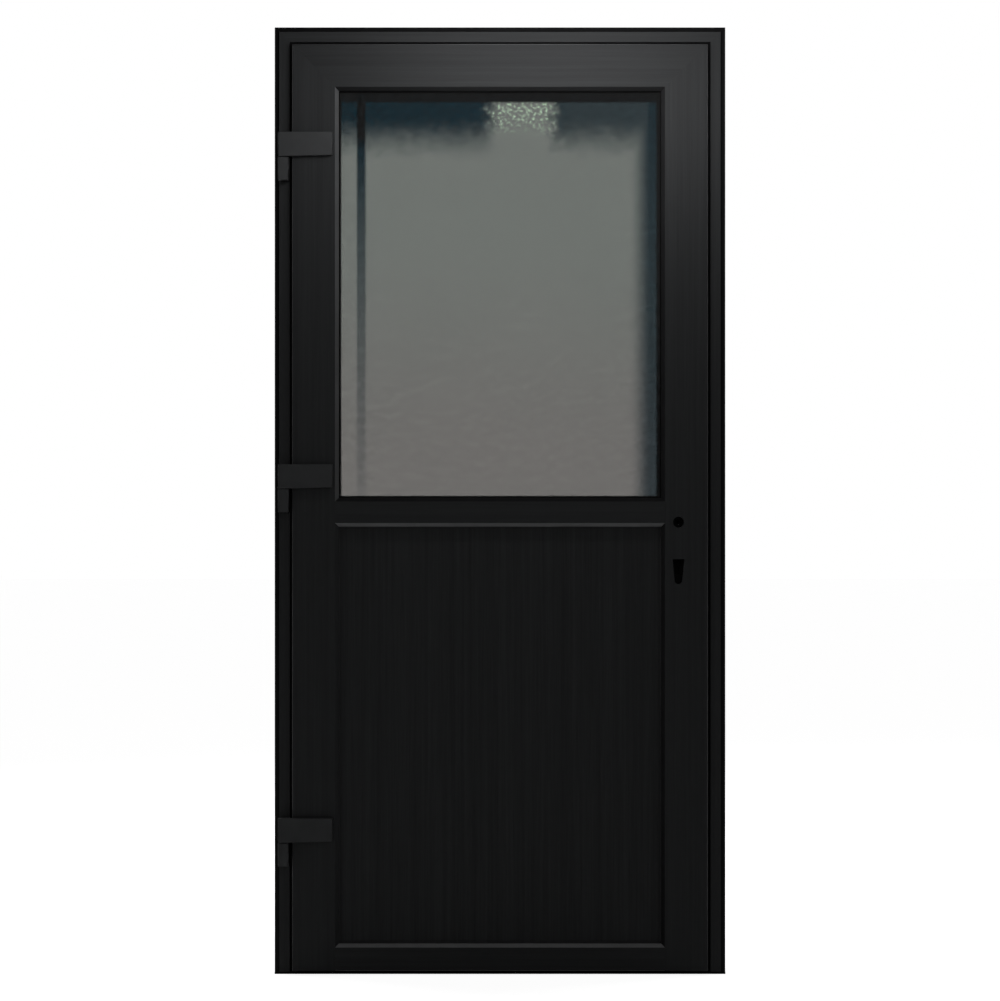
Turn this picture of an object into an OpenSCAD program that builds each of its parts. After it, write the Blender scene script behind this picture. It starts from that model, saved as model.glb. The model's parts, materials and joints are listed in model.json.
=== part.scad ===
// Half-glazed side-entrance door in its frame.
// X runs to the right seen from the hinge side, Y runs to the back and Z up.
// The origin is on the floor, in the middle of the frame's width and depth.

/* [Frame] */
// Width over the outer frame
frame_w = 1000; // [900:1:1200]
// Height over the outer frame
frame_h = 2100; // [2000:1:2400]
// Depth of the frame profile, front to back
frame_d = 70; // [68:1:80]
// Width of the frame profile up to its rebate
frame_side = 48; // [46:1:60]
// Height of the stop that the leaf closes against
stop_h = 20; // [18:0.5:26]
// Thickness of that stop
stop_t = 10; // [8:0.5:12]
// Width of the stepped outer edge
step_w = 10.5; // [6:0.5:11]
// Depth of the stepped outer edge
step_d = 5; // [2:0.5:6]
// Width of the shadow groove round the leaf
shadow_w = 7; // [5:0.5:8]
// Depth of that groove
shadow_d = 6; // [4:0.5:7]
// How far that groove runs under the leaf
shadow_lap = 0.5; // [0:0.25:1]
// Small chamfer on the visible edges of the profiles
edge_c = 1.5; // [0.5:0.25:2]
// Wall of the hollow profiles
wall = 3; // [2.5:0.1:3.5]
// Wall of the steel reinforcements
steel_t = 2; // [1.5:0.1:2.5]
// Gap between a steel and its chamber
steel_gap = 0.3; // [0.1:0.05:0.5]
// How far a steel stops short of its mitre
steel_setback = 8; // [4:1:20]

/* [Threshold] */
// Height of the threshold's base
sill_h = 5; // [4:0.5:7]
// Height of the threshold's upstand
upstand_h = 20; // [18:0.5:25]
// Gap between the threshold's base and the leaf
foot_gap = 4; // [2:0.5:6]

/* [Leaf] */
// How far the leaf stands in front of the frame
leaf_proud = 14; // [13:0.5:16]
// Depth of the leaf profile
leaf_d = 70; // [68:1:72]
// How far the leaf laps over the frame
overlap = 8; // [7:0.5:10]
// Air between the leaf's edge and the frame's rebate
rebate_air = 12; // [11:0.5:14]
// Thickness of the lapping lip
lip_t = 10.5; // [9:0.5:11.5]
// Face width of the stiles and the top rail
stile_w = 103; // [100:1:120]
// Face width of the mid rail
mid_rail_w = 64; // [56:1:90]
// Height of the mid rail's lower edge
mid_rail_z = 992; // [800:1:1200]
// Face width of the bottom rail
bottom_rail_w = 60; // [50:1:120]
// Width and depth of the bevel round the glass and the panel
bevel = 8; // [4:0.5:10]

/* [Glazing] */
// How far the lip and the beads cover the glass rebate
glazing_cover = 16; // [14:0.5:20]
// Thickness of the lip in front of the glass
glazing_lip_t = 16; // [14:0.5:18]
// Gap between the glass edge and the rebate floor
edge_gap = 4; // [3:0.5:5]
// Thickness of one pane
pane_t = 4; // [3:0.5:6]
// Cavity between the panes
cavity = 16; // [12:0.5:18]
// Thickness of the glazing gaskets
gasket_t = 3; // [2:0.25:4]
// How far a gasket shows past the lip
gasket_show = 2; // [1:0.25:4]
// How far the spacer shows past the lip
spacer_show = 4; // [1:0.5:8]
// Length of a setting block
block_l = 100; // [50:5:150]
// Distance of a setting block from the corner
block_inset = 80; // [60:5:150]
// Slope of the glazing beads, width and depth
bead_slope = 9; // [4:0.5:12]

/* [Seals] */
// Width of the seals
seal_w = 4; // [3:0.25:5]
// Depth of a seal's groove
seal_groove = 2.5; // [1.5:0.25:3]
// Distance of the leaf seal from the lip's edge
leaf_seal_inset = 2.5; // [2:0.25:3]
// Distance of the frame seal from the stop's edge
frame_seal_inset = 2; // [1.5:0.25:3]
// Gap between a seal and the face that it closes on
seal_gap = 0.3; // [0.2:0.05:0.5]

/* [Hinges] */
// Height of the top hinge's upper end on a frame of the usual height
hinge_top_z = 1864; // [1700:1:1900]
// Height of the middle hinge's upper end on such a frame
hinge_middle_z = 1130; // [900:1:1300]
// Height of the bottom hinge's upper end
hinge_bottom_z = 348; // [300:1:500]
// Overall height of a hinge
hinge_h = 106; // [96:1:120]
// Height of the flag at its knuckle
flag_h = 54; // [48:1:60]
// How much lower the flag is at its free end
flag_taper = 3; // [0:0.5:6]
// Chamfer of the flag's lower corner
flag_corner = 2; // [2:0.5:12]
// Length of the flag from the hinge axis
flag_l = 108; // [90:1:112]
// Thickness of the flag's plate
flag_t = 5; // [4:0.5:6]
// Radius of the hinge barrel
knuckle_r = 10; // [8:0.25:10.5]
// Rounding of the hinge block's front corners
hinge_corner = 2; // [1:0.25:3]
// Distance of the hinge axis from the frame's outer edge
hinge_inset = 21.5; // [20:0.5:24]
// Distance of the hinge axis in front of the frame
hinge_standoff = 16; // [15:0.5:18]
// Radius of the hinge pin
pin_r = 5; // [4:0.25:5.5]
// Wall of the bush round the pin
bush_wall = 2; // [1.5:0.25:2.5]
// Thickness of the bush's flange between the knuckles
flange_t = 1; // [0.8:0.1:2]
// Radial clearance of pins, bushes and pegs
fit = 0.05; // [0.02:0.01:0.08]
// Closed end of a knuckle
knuckle_cap = 4; // [3:0.5:8]
// Radius of the pegs that hold a knuckle to the jamb
peg_r = 4; // [3:0.25:5]
// Length of those pegs
peg_l = 12; // [10:0.5:15]
// Distance of a peg from the knuckle's middle
peg_off = 14; // [10:0.5:16]
// Wall of that cover
cover_wall = 1.7; // [1:0.1:2.5]
// Gap between the cover and what it goes round
cover_gap = 0.3; // [0.1:0.05:0.5]

/* [Lock] */
// Height of the handle's spindle
spindle_z = 1002; // [900:1:1100]
// Distance from the faceplate to the spindle in a stile of the usual width
backset = 45; // [42:0.5:46]
// Distance from the spindle down to the lock cylinder
cylinder_drop = 92; // [88:1:96]
// Radius of the spindle hole in the stile
spindle_hole_r = 12; // [10.5:0.25:14]
// Width of the cylinder cut-out at its top
cutout_top_w = 26; // [22:0.5:28]
// Width of the cylinder cut-out at its foot
cutout_foot_w = 17; // [15:0.5:20]
// Height of the cylinder cut-out
cutout_h = 55; // [48:0.5:60]
// How far the cut-out reaches above the cylinder's axis
cutout_rise = 10; // [9.5:0.25:14]
// Depth of the lock in the leaf, measured from its front face
lock_depth = 35; // [33:0.5:37]
// Thickness of the lock case
case_t = 16; // [15:0.5:20]
// Wall of the lock case
case_wall = 1.5; // [1:0.1:1.5]
// How far the case reaches behind the spindle
case_back = 16; // [15.5:0.25:17]
// Width of the faceplate
faceplate_w = 20; // [18:0.5:24]
// Thickness of the faceplate
faceplate_t = 3; // [2.5:0.25:3]
// Length of the faceplate past the case, at each end
faceplate_end = 28; // [24:1:60]
// Thickness of the bolts
bolt_t = 12; // [11:0.25:12.5]
// Height of the latch bolt
latch_h = 20; // [18:0.5:24]
// Height of the latch bolt's middle above the spindle
latch_rise = 30; // [29:0.5:34]
// How far the latch bolt stands out
latch_throw = 10.5; // [9:0.25:11]
// Height of the deadbolt
deadbolt_h = 34; // [28:0.5:38]
// Length of the deadbolt in such a stile
deadbolt_l = 45; // [40:0.5:48]
// Distance of the deadbolt's middle below the spindle
deadbolt_drop = 47; // [44:0.5:50]
// Throw of the deadbolt
deadbolt_throw = 20; // [14:0.5:22]
// Clearance round the bolts and the case
bolt_gap = 0.4; // [0.2:0.05:0.5]
// Width of the follower's square hole
square_w = 8.2; // [8:0.1:10]
// Radius of the follower's journals
journal_r = 9; // [8:0.25:10]
// Length of the follower's arm
arm_l = 17.5; // [17:0.25:18]
// Width of the follower's arm
arm_w = 6; // [5:0.25:6.5]
// Thickness of the follower's arm
arm_t = 10; // [8:0.25:11]
// Angle of the follower's arm at rest
arm_rest = 20; // [18:0.5:22]
// Thickness of the strike plate
strike_t = 8; // [6:0.25:8.5]
// Width of the strike plate
strike_w = 24; // [20:0.5:28]
// Length of the strike plate past its windows, at each end
strike_end = 26; // [22:1:50]

/* [Fixings] */
// Radius of the holes for the frame fixings
fixing_r = 5.2; // [4:0.1:6]
// Distance of the outer fixings from the frame's ends
fixing_end = 150; // [120:5:200]
// Distance between an outer and an inner fixing
fixing_step = 500; // [450:5:520]
// Radius of the screws' shanks
screw_r = 2; // [1.5:0.1:2.5]
// Radius of the screws' heads
screw_head_r = 4; // [3.5:0.1:4.5]
// Length of the screws' shanks
screw_l = 16; // [14:0.5:20]

/* [Hidden] */
$fn = 48;
cut = 1;
reach = 200;
// The frame and the stile that the hinges' heights and the lock's lengths are given for
usual_h = 2100;
usual_stile = 103;
frame_front = -frame_d / 2;
frame_back = frame_d / 2;
stop_y = frame_back - stop_t;
frame_total = frame_side + stop_h;
frame_rect = [-frame_w / 2, sill_h, frame_w / 2, frame_h];

// Leaf: its outer rectangle, its rebate edge and its depth
leaf_front = frame_front - leaf_proud;
leaf_back = leaf_front + leaf_d;
leaf_inset = frame_side - overlap;
leaf_foot = sill_h + foot_gap;
leaf_rect = [
    -frame_w / 2 + leaf_inset, leaf_foot, frame_w / 2 - leaf_inset, frame_h - leaf_inset
];
leaf_edge = overlap + rebate_air;
lip_y = leaf_front + lip_t;
floor_u = stile_w - glazing_cover;
glass_lip_y = leaf_front + glazing_lip_t;
unit_y = glass_lip_y + gasket_t;
unit_t = 2 * pane_t + cavity;
bead_y = unit_y + unit_t + gasket_t;
web_t = 2;
front_chamber_t = 6;
rear_chamber_t = 8;
main_y0 = leaf_front + wall + front_chamber_t + web_t;
main_y1 = leaf_back - wall - rear_chamber_t - web_t;

// The glass opening and the panel opening: sight lines and rebate floors
sight_x = leaf_rect[2] - stile_w;
mid_top_z = mid_rail_z + mid_rail_w;
bottom_top_z = leaf_foot + bottom_rail_w;
glass_sight = [-sight_x, mid_top_z, sight_x, leaf_rect[3] - stile_w];
panel_sight = [-sight_x, bottom_top_z, sight_x, mid_rail_z];
glass_floor = grown(glass_sight, glazing_cover);
panel_floor = grown(panel_sight, glazing_cover);
glass_edge = grown(glass_floor, -edge_gap);
panel_edge = grown(panel_floor, -edge_gap);

// Frame chambers and steels
frame_chamber_u = step_w + web_t;
shadow_u1 = leaf_inset + shadow_lap;
shadow_u0 = shadow_u1 - shadow_w;
frame_main_y0 = frame_front + shadow_d + wall;
stop_web = 7;
frame_main_y1 = stop_y - stop_web;

// Hinges
hinge_x = -frame_w / 2 + hinge_inset;
hinge_y = frame_front - hinge_standoff;
hinge_shift = frame_h - usual_h;
hinge_zs = [hinge_top_z + hinge_shift, hinge_middle_z + hinge_shift, hinge_bottom_z];
knuckle_h = hinge_h - flag_h - flange_t - seal_gap;
bush_r = pin_r + fit + bush_wall;
flag_end_x = hinge_x + flag_l;
cover_half = knuckle_r + cover_gap + cover_wall;
cover_x0 = hinge_x - cover_half;
cover_front = hinge_y - cover_half;
cover_round = min(hinge_corner, 2 * cover_wall);
barrel_x1 = hinge_x + knuckle_r + cover_gap;
barrel_h = flag_h - cover_wall - cover_gap;
flag_screw_shares = [0.25, 0.58, 0.84];
flag_screw_xs = [
    for (share = flag_screw_shares) barrel_x1 + share * (flag_end_x - barrel_x1)
];

// Lock: the faceplate lies in the groove of the leaf's edge
edge_x = leaf_rect[2] - leaf_edge;
lock_y = leaf_front + lock_depth;
stile_extra = stile_w - usual_stile;
spindle_x = edge_x - backset - stile_extra;
cylinder_z = spindle_z - cylinder_drop;
cylinder_r = 8.7;
cylinder_slot_w = 10.4;
cylinder_foot = 24.3;
latch_z = spindle_z + latch_rise;
deadbolt_z = spindle_z - deadbolt_drop;
case_margin = 22;
case_z0 = cylinder_z - cylinder_foot - case_margin;
case_z1 = latch_z + latch_h / 2 + case_margin;
case_x0 = spindle_x - case_back;
case_x1 = edge_x - faceplate_t;
face_z0 = case_z0 - faceplate_end;
face_z1 = case_z1 + faceplate_end;
face_screw_zs = [face_z0 + faceplate_end / 2, face_z1 - faceplate_end / 2];
groove_w = faceplate_w + 2 * bolt_gap;
lug_lead = 1.3;
lug_hook = 3.5;
tail_gap = 3;
lug_x1 = spindle_x + lug_lead;
lug_w = 4.3;
collar_step = 1.5;
collar_r = journal_r + collar_step;
lug_z0 = spindle_z + arm_l - lug_hook;
tail_z0 = spindle_z + arm_l + tail_gap;
rebate_x = frame_w / 2 - frame_side;
strike_z0 = deadbolt_z - deadbolt_h / 2 - strike_end;
strike_z1 = latch_z + latch_h / 2 + strike_end;
strike_screw_zs = [strike_z0 + strike_end / 2, strike_z1 - strike_end / 2];

fixing_zs = [
    fixing_end, fixing_end + fixing_step, frame_h - fixing_end - fixing_step, frame_h - fixing_end
];
fixing_y = (frame_main_y0 + frame_main_y1) / 2;

profile_colour = "#2f3133";
steel_colour = "#9aa0a3";
rubber_colour = "#151515";
hinge_colour = "#3a3c3e";

// A rectangle [x0, z0, x1, z1] made larger on every side
function grown(r, by) = [r[0] - by, r[1] - by, r[2] + by, r[3] + by];

// The span that reaches as far to both sides of a middle
function about(middle, half) = [middle - half, middle + half];

// Bars along the four sides of a rectangle. The section's first coordinate
// runs inward from the side and its second one is Y.
module left_bar(r) {
    translate([r[0], 0, r[1]]) linear_extrude(r[3] - r[1]) children();
}
module right_bar(r) {
    translate([r[2], 0, r[1]]) mirror([1, 0, 0]) linear_extrude(r[3] - r[1]) children();
}
module top_bar(r) {
    translate([r[0], 0, r[3]]) rotate([0, 90, 0]) linear_extrude(r[2] - r[0]) children();
}
module bottom_bar(r) {
    translate([r[2], 0, r[1]]) rotate([0, -90, 0]) linear_extrude(r[2] - r[0]) children();
}

// A slab through the whole depth with the given outline in X and Z
module slab(points) {
    translate([0, reach, 0]) rotate([90, 0, 0]) linear_extrude(2 * reach) polygon(points);
}

// Mitred sides of a rectangle, with a section at most w wide
module mitred_left(r, w, square_foot = false) {
    foot = square_foot ? -cut : w;
    intersection() {
        left_bar(r) children();
        slab([
            [r[0] - cut, r[1] - cut], [r[0] - cut, r[3] + cut],
            [r[0] + w, r[3] - w], [r[0] + w, r[1] + foot]
        ]);
    }
}
module mitred_right(r, w, square_foot = false) {
    foot = square_foot ? -cut : w;
    intersection() {
        right_bar(r) children();
        slab([
            [r[2] + cut, r[1] - cut], [r[2] + cut, r[3] + cut],
            [r[2] - w, r[3] - w], [r[2] - w, r[1] + foot]
        ]);
    }
}
module mitred_top(r, w) {
    intersection() {
        top_bar(r) children();
        slab([
            [r[0] - cut, r[3] + cut], [r[2] + cut, r[3] + cut],
            [r[2] - w, r[3] - w], [r[0] + w, r[3] - w]
        ]);
    }
}
module mitred_bottom(r, w) {
    intersection() {
        bottom_bar(r) children();
        slab([
            [r[0] - cut, r[1] - cut], [r[2] + cut, r[1] - cut],
            [r[2] - w, r[1] + w], [r[0] + w, r[1] + w]
        ]);
    }
}

// A rectangle ring between two rectangles, from y0 to y1
module ring(outer, inner, y0, y1) {
    difference() {
        plate(outer, y0, y1);
        plate(inner, y0 - cut, y1 + cut);
    }
}
module plate(r, y0, y1) {
    translate([r[0], y0, r[1]]) cube([r[2] - r[0], y1 - y0, r[3] - r[1]]);
}
module cuboid(x, y, z) {
    translate([x[0], y[0], z[0]]) cube([x[1] - x[0], y[1] - y[0], z[1] - z[0]]);
}
module chamber(u, y) {
    translate([u[0], y[0]]) square([u[1] - u[0], y[1] - y[0]]);
}
module drill_y(x, z, r, y0, y1) {
    translate([x, y0, z]) rotate([-90, 0, 0]) cylinder(r = r, h = y1 - y0);
}
module drill_x(y, z, r, x0, x1) {
    translate([x0, y, z]) rotate([0, 90, 0]) cylinder(r = r, h = x1 - x0);
}

// Sections of the frame: hollow profile and steel tube
module frame_section() {
    seal_u1 = frame_total - frame_seal_inset;
    seal_u0 = seal_u1 - seal_w;
    difference() {
        polygon([
            [step_w, frame_front], [shadow_u0, frame_front],
            [shadow_u0, frame_front + shadow_d], [shadow_u1, frame_front + shadow_d],
            [shadow_u1, frame_front], [frame_side - edge_c, frame_front],
            [frame_side, frame_front + edge_c], [frame_side, stop_y],
            [seal_u0, stop_y], [seal_u0, stop_y + seal_groove],
            [seal_u1, stop_y + seal_groove], [seal_u1, stop_y],
            [frame_total, stop_y], [frame_total, frame_back - edge_c],
            [frame_total - edge_c, frame_back], [0, frame_back],
            [0, frame_front + step_d], [step_w, frame_front + step_d]
        ]);
        chamber([wall, step_w], [frame_front + step_d + wall, frame_back - wall]);
        chamber(
            [frame_chamber_u, shadow_u0 - wall], [frame_front + wall, frame_main_y0 - web_t]
        );
        chamber([frame_chamber_u, frame_side - wall], [frame_main_y0, frame_main_y1]);
        chamber(
            [frame_chamber_u, frame_side - wall],
            [frame_main_y1 + web_t, frame_back - wall]
        );
    }
}
module tube_section(u, y) {
    difference() {
        chamber(
            [u[0] + steel_gap, u[1] - steel_gap], [y[0] + steel_gap, y[1] - steel_gap]
        );
        chamber(
            [u[0] + steel_gap + steel_t, u[1] - steel_gap - steel_t],
            [y[0] + steel_gap + steel_t, y[1] - steel_gap - steel_t]
        );
    }
}
module frame_steel_section() {
    tube_section([frame_chamber_u, frame_side - wall], [frame_main_y0, frame_main_y1]);
}

// Sections of the leaf: outline, hollow profile and steel tube
module leaf_outline() {
    seal_u1 = leaf_seal_inset + seal_w;
    polygon([
        [0, leaf_front + edge_c], [edge_c, leaf_front],
        [stile_w - bevel, leaf_front], [stile_w, leaf_front + bevel],
        [stile_w, glass_lip_y], [floor_u, glass_lip_y],
        [floor_u, leaf_back - edge_c], [floor_u - edge_c, leaf_back],
        [leaf_edge + edge_c, leaf_back], [leaf_edge, leaf_back - edge_c],
        [leaf_edge, lock_y + groove_w / 2], [leaf_edge + faceplate_t, lock_y + groove_w / 2],
        [leaf_edge + faceplate_t, lock_y - groove_w / 2], [leaf_edge, lock_y - groove_w / 2],
        [leaf_edge, lip_y], [seal_u1, lip_y],
        [seal_u1, lip_y - seal_groove], [leaf_seal_inset, lip_y - seal_groove],
        [leaf_seal_inset, lip_y], [0, lip_y]
    ]);
}
main_u0 = leaf_edge + faceplate_t + wall;
main_u1 = floor_u - wall;
module leaf_section() {
    difference() {
        leaf_outline();
        chamber(
            [main_u0, stile_w - bevel - web_t],
            [leaf_front + wall, leaf_front + wall + front_chamber_t]
        );
        chamber([main_u0, main_u1], [main_y0, main_y1]);
        chamber([main_u0, main_u1], [main_y1 + web_t, leaf_back - wall]);
    }
}
module leaf_steel_section() {
    tube_section([main_u0, main_u1], [main_y0, main_y1]);
}

// A rail between the stiles. Its section's first coordinate is the height from z0.
module rail_section(w, rebate_below) {
    low = rebate_below ? glazing_cover : 0;
    high = w - glazing_cover;
    low_bevel = rebate_below ? bevel : edge_c;
    difference() {
        polygon(concat(
            [
                [low_bevel, leaf_front], [w - bevel, leaf_front],
                [w, leaf_front + bevel], [w, glass_lip_y], [high, glass_lip_y],
                [high, leaf_back], [low, leaf_back]
            ],
            rebate_below ? [[low, glass_lip_y], [0, glass_lip_y]] : [],
            [[0, leaf_front + low_bevel]]
        ));
        chamber(
            [low_bevel + web_t, w - bevel - web_t],
            [leaf_front + wall, leaf_front + wall + front_chamber_t]
        );
        chamber([low + wall, high - wall], [main_y0, main_y1]);
        chamber([low + wall, high - wall], [main_y1 + web_t, leaf_back - wall]);
    }
}
rail_x = sight_x + glazing_cover;
module coped_rail(z0, w, rebate_below) {
    difference() {
        bottom_bar([-rail_x, z0, rail_x, z0 + w]) rail_section(w, rebate_below);
        left_bar(leaf_rect) leaf_outline();
        right_bar(leaf_rect) leaf_outline();
    }
}
module rail_steel(z0, w, rebate_below) {
    low = rebate_below ? glazing_cover : 0;
    x = sight_x - steel_gap;
    color(steel_colour) bottom_bar([-x, z0, x, z0 + w]) tube_section(
        [low + wall, w - glazing_cover - wall], [main_y0, main_y1]
    );
}

// Frame
module frame_head() {
    color(profile_colour) mitred_top(frame_rect, frame_total + cut) frame_section();
}
module fixing_holes(x0, x1) {
    for (z = fixing_zs) drill_x(fixing_y, z, fixing_r, x0, x1);
}
module peg_holes() {
    y1 = frame_front + peg_l + cut;
    for (z = hinge_zs, s = [-1, 1]) {
        drill_y(hinge_x, knuckle_mid(z) + s * peg_off, peg_r + fit, frame_front - cut, y1);
    }
}
function knuckle_mid(z) = z - hinge_h + knuckle_h / 2;
module frame_hinge_jamb() {
    color(profile_colour) difference() {
        mitred_left(frame_rect, frame_total + cut, true) frame_section();
        fixing_holes(-frame_w / 2 - cut, -rebate_x + cut);
        peg_holes();
    }
}
module bolt_pocket() {
    y = about(lock_y, bolt_t / 2 + bolt_gap);
    z = about(deadbolt_z, deadbolt_h / 2 + bolt_gap);
    cuboid([rebate_x - cut, edge_x + deadbolt_throw + cut], y, z);
}
module strike_screw_holes() {
    for (z = strike_screw_zs) drill_x(lock_y, z, screw_r, rebate_x - cut, rebate_x + screw_l);
}
module frame_lock_jamb() {
    color(profile_colour) difference() {
        mitred_right(frame_rect, frame_total + cut, true) frame_section();
        fixing_holes(rebate_x - cut, frame_w / 2 + cut);
        bolt_pocket();
        strike_screw_holes();
    }
}
frame_steel_rect = [
    -frame_w / 2, sill_h, frame_w / 2, frame_h - frame_side - steel_setback
];
module frame_head_steel() {
    x = frame_w / 2 - frame_side - steel_setback;
    color(steel_colour) top_bar([-x, sill_h, x, frame_h]) frame_steel_section();
}
module frame_hinge_jamb_steel() {
    color(steel_colour) difference() {
        left_bar(frame_steel_rect) frame_steel_section();
        fixing_holes(-frame_w / 2 - cut, -rebate_x + cut);
        peg_holes();
    }
}
module frame_lock_jamb_steel() {
    color(steel_colour) difference() {
        right_bar(frame_steel_rect) frame_steel_section();
        fixing_holes(rebate_x - cut, frame_w / 2 + cut);
        bolt_pocket();
        strike_screw_holes();
    }
}

// Seal in the stop's groove and in the threshold's upstand
stop_x = frame_w / 2 - frame_total;
seal_outer = frame_total - frame_seal_inset - seal_w;
module frame_seal_section() {
    chamber([0, seal_w], [leaf_back + seal_gap, stop_y + seal_groove]);
}
frame_seal_rect = [
    -frame_w / 2 + seal_outer, sill_h, frame_w / 2 - seal_outer, frame_h - seal_outer
];
upstand_seal_z = upstand_h - frame_seal_inset - seal_w;
module frame_seal() {
    color(rubber_colour) {
        mitred_left(frame_seal_rect, seal_w + cut, true) frame_seal_section();
        mitred_right(frame_seal_rect, seal_w + cut, true) frame_seal_section();
        mitred_top(frame_seal_rect, seal_w + cut) frame_seal_section();
        bottom_bar([-stop_x, upstand_seal_z, stop_x, upstand_h]) frame_seal_section();
    }
}
module threshold() {
    base = [-frame_w / 2, 0, frame_w / 2, sill_h];
    nose = sill_h / 2;
    color("#101011") difference() {
        union() {
            bottom_bar(base) polygon([
                [0, frame_front], [nose, frame_front], [sill_h, frame_front + nose],
                [sill_h, frame_back], [0, frame_back]
            ]);
            cuboid([-stop_x, stop_x], [stop_y, frame_back], [0, upstand_h]);
        }
        cuboid(
            [-stop_x - cut, stop_x + cut], [stop_y - cut, stop_y + seal_groove],
            [upstand_seal_z, upstand_seal_z + seal_w]
        );
    }
}

// Strike plate on the lock jamb, with windows for latch and deadbolt
module bolt_window(z, h, x0, x1) {
    y = about(lock_y, bolt_t / 2 + bolt_gap);
    cuboid([x0, x1], y, about(z, h / 2 + bolt_gap));
}
module strike_plate() {
    x0 = rebate_x - strike_t;
    color(steel_colour) difference() {
        cuboid([x0, rebate_x], about(lock_y, strike_w / 2), [strike_z0, strike_z1]);
        bolt_window(latch_z, latch_h, x0 - cut, rebate_x + cut);
        bolt_window(deadbolt_z, deadbolt_h, x0 - cut, rebate_x + cut);
        for (z = strike_screw_zs) {
            drill_x(lock_y, z, screw_r, x0 - cut, rebate_x + cut);
            translate([x0, lock_y, z]) screw_sink();
        }
    }
}

// A countersunk screw along X, with its head's face at the origin
module screw() {
    screw_sink();
    drill_x(0, 0, screw_r, screw_head_r - screw_r, screw_l);
}
module screw_sink() {
    rotate([0, 90, 0]) cylinder(r1 = screw_head_r, r2 = screw_r, h = screw_head_r - screw_r);
}
module strike_screws() {
    for (z = strike_screw_zs) {
        color(steel_colour) translate([rebate_x - strike_t, lock_y, z]) screw();
    }
}

// Hinges: frame knuckle with pegs, pin, bush, flag, cover and screws
module hinge_block_section() {
    x = about(hinge_x, cover_half);
    inner_x = about(hinge_x, cover_half - hinge_corner);
    chamber(x, [cover_front + hinge_corner, frame_front]);
    chamber(inner_x, [cover_front, frame_front]);
    for (corner_x = inner_x) {
        translate([corner_x, cover_front + hinge_corner]) circle(hinge_corner);
    }
}
module hinge_knuckle(z) {
    z0 = z - hinge_h;
    color(hinge_colour) difference() {
        union() {
            translate([0, 0, z0]) linear_extrude(knuckle_h) hinge_block_section();
            for (s = [-1, 1]) {
                drill_y(
                    hinge_x, z0 + knuckle_h / 2 + s * peg_off, peg_r,
                    frame_front - cut, frame_front + peg_l
                );
            }
        }
        translate([hinge_x, hinge_y, z0 + knuckle_cap]) cylinder(r = pin_r + fit, h = knuckle_h);
    }
}
module hinge_top_knuckle() { hinge_knuckle(hinge_zs[0]); }
module hinge_middle_knuckle() { hinge_knuckle(hinge_zs[1]); }
module hinge_bottom_knuckle() { hinge_knuckle(hinge_zs[2]); }
module hinge_pins() {
    for (z = hinge_zs) {
        color(steel_colour) translate([hinge_x, hinge_y, z - hinge_h + knuckle_cap]) {
            cylinder(r = pin_r, h = hinge_h - 2 * knuckle_cap - seal_gap);
        }
    }
}
module hinge_bushes() {
    for (z = hinge_zs) {
        color("#d8d8d2") translate([hinge_x, hinge_y, z - flag_h]) difference() {
            union() {
                cylinder(r = bush_r, h = flag_h - knuckle_cap);
                translate([0, 0, -flange_t]) cylinder(r = knuckle_r - edge_c, h = flange_t);
            }
            translate([0, 0, -flange_t - cut]) cylinder(r = pin_r + fit, h = flag_h + 2 * cut);
        }
    }
}

// Outline of the flag in X and Z, drawn in by a margin
module flag_outline(x0, z, margin) {
    x1 = flag_end_x - margin;
    foot = z - flag_h + margin;
    polygon([
        [x0, z - margin], [x1, z - margin], [x1, foot + flag_taper + flag_corner],
        [x1 - flag_corner, foot + flag_taper], [x0, foot]
    ]);
}
module flag_prism(x0, z, margin, y0, y1) {
    translate([0, y1, 0]) rotate([90, 0, 0]) linear_extrude(y1 - y0) {
        flag_outline(x0, z, margin);
    }
}
function flag_screw_z(z) = z - flag_h / 2;
module hinge_flag(z) {
    color(hinge_colour) difference() {
        union() {
            translate([hinge_x, hinge_y, z - flag_h]) cylinder(r = knuckle_r, h = barrel_h);
            flag_prism(hinge_x, z, cover_wall + cover_gap, leaf_front - flag_t, leaf_front);
        }
        translate([hinge_x, hinge_y, z - flag_h - cut]) {
            cylinder(r = bush_r + fit, h = flag_h - knuckle_cap + cut);
        }
        for (x = flag_screw_xs) {
            drill_y(x, flag_screw_z(z), screw_r, leaf_front - flag_t - cut, leaf_front + cut);
            translate([x, leaf_front - flag_t, flag_screw_z(z)]) rotate([0, 0, 90]) screw_sink();
        }
    }
}
module hinge_top_flag() { hinge_flag(hinge_zs[0]); }
module hinge_middle_flag() { hinge_flag(hinge_zs[1]); }
module hinge_bottom_flag() { hinge_flag(hinge_zs[2]); }
module cover_corner(z) {
    translate([cover_x0, cover_front, z - flag_h - cut]) linear_extrude(flag_h + 2 * cut) {
        difference() {
            translate([-cut, -cut]) square(cover_round + cut);
            translate([cover_round, cover_round]) circle(cover_round);
        }
    }
}
module hinge_cover(z) {
    color(hinge_colour) difference() {
        flag_prism(cover_x0, z, 0, cover_front, leaf_front);
        cover_corner(z);
        flag_prism(
            cover_x0 + cover_wall, z, cover_wall, cover_front + cover_wall, leaf_front + cut
        );
        cuboid(
            [cover_x0 + cover_wall, barrel_x1], [cover_front + cover_wall, leaf_front + cut],
            [z - flag_h - cut, z - flag_h / 2]
        );
    }
}
module hinge_top_cover() { hinge_cover(hinge_zs[0]); }
module hinge_middle_cover() { hinge_cover(hinge_zs[1]); }
module hinge_bottom_cover() { hinge_cover(hinge_zs[2]); }
module hinge_screws() {
    for (z = hinge_zs, x = flag_screw_xs) {
        color(steel_colour) translate([x, leaf_front - flag_t, flag_screw_z(z)]) {
            rotate([0, 0, 90]) screw();
        }
    }
}
module flag_screw_holes() {
    for (z = hinge_zs, x = flag_screw_xs) {
        drill_y(x, flag_screw_z(z), screw_r, leaf_front - cut, leaf_front + screw_l);
    }
}

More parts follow.
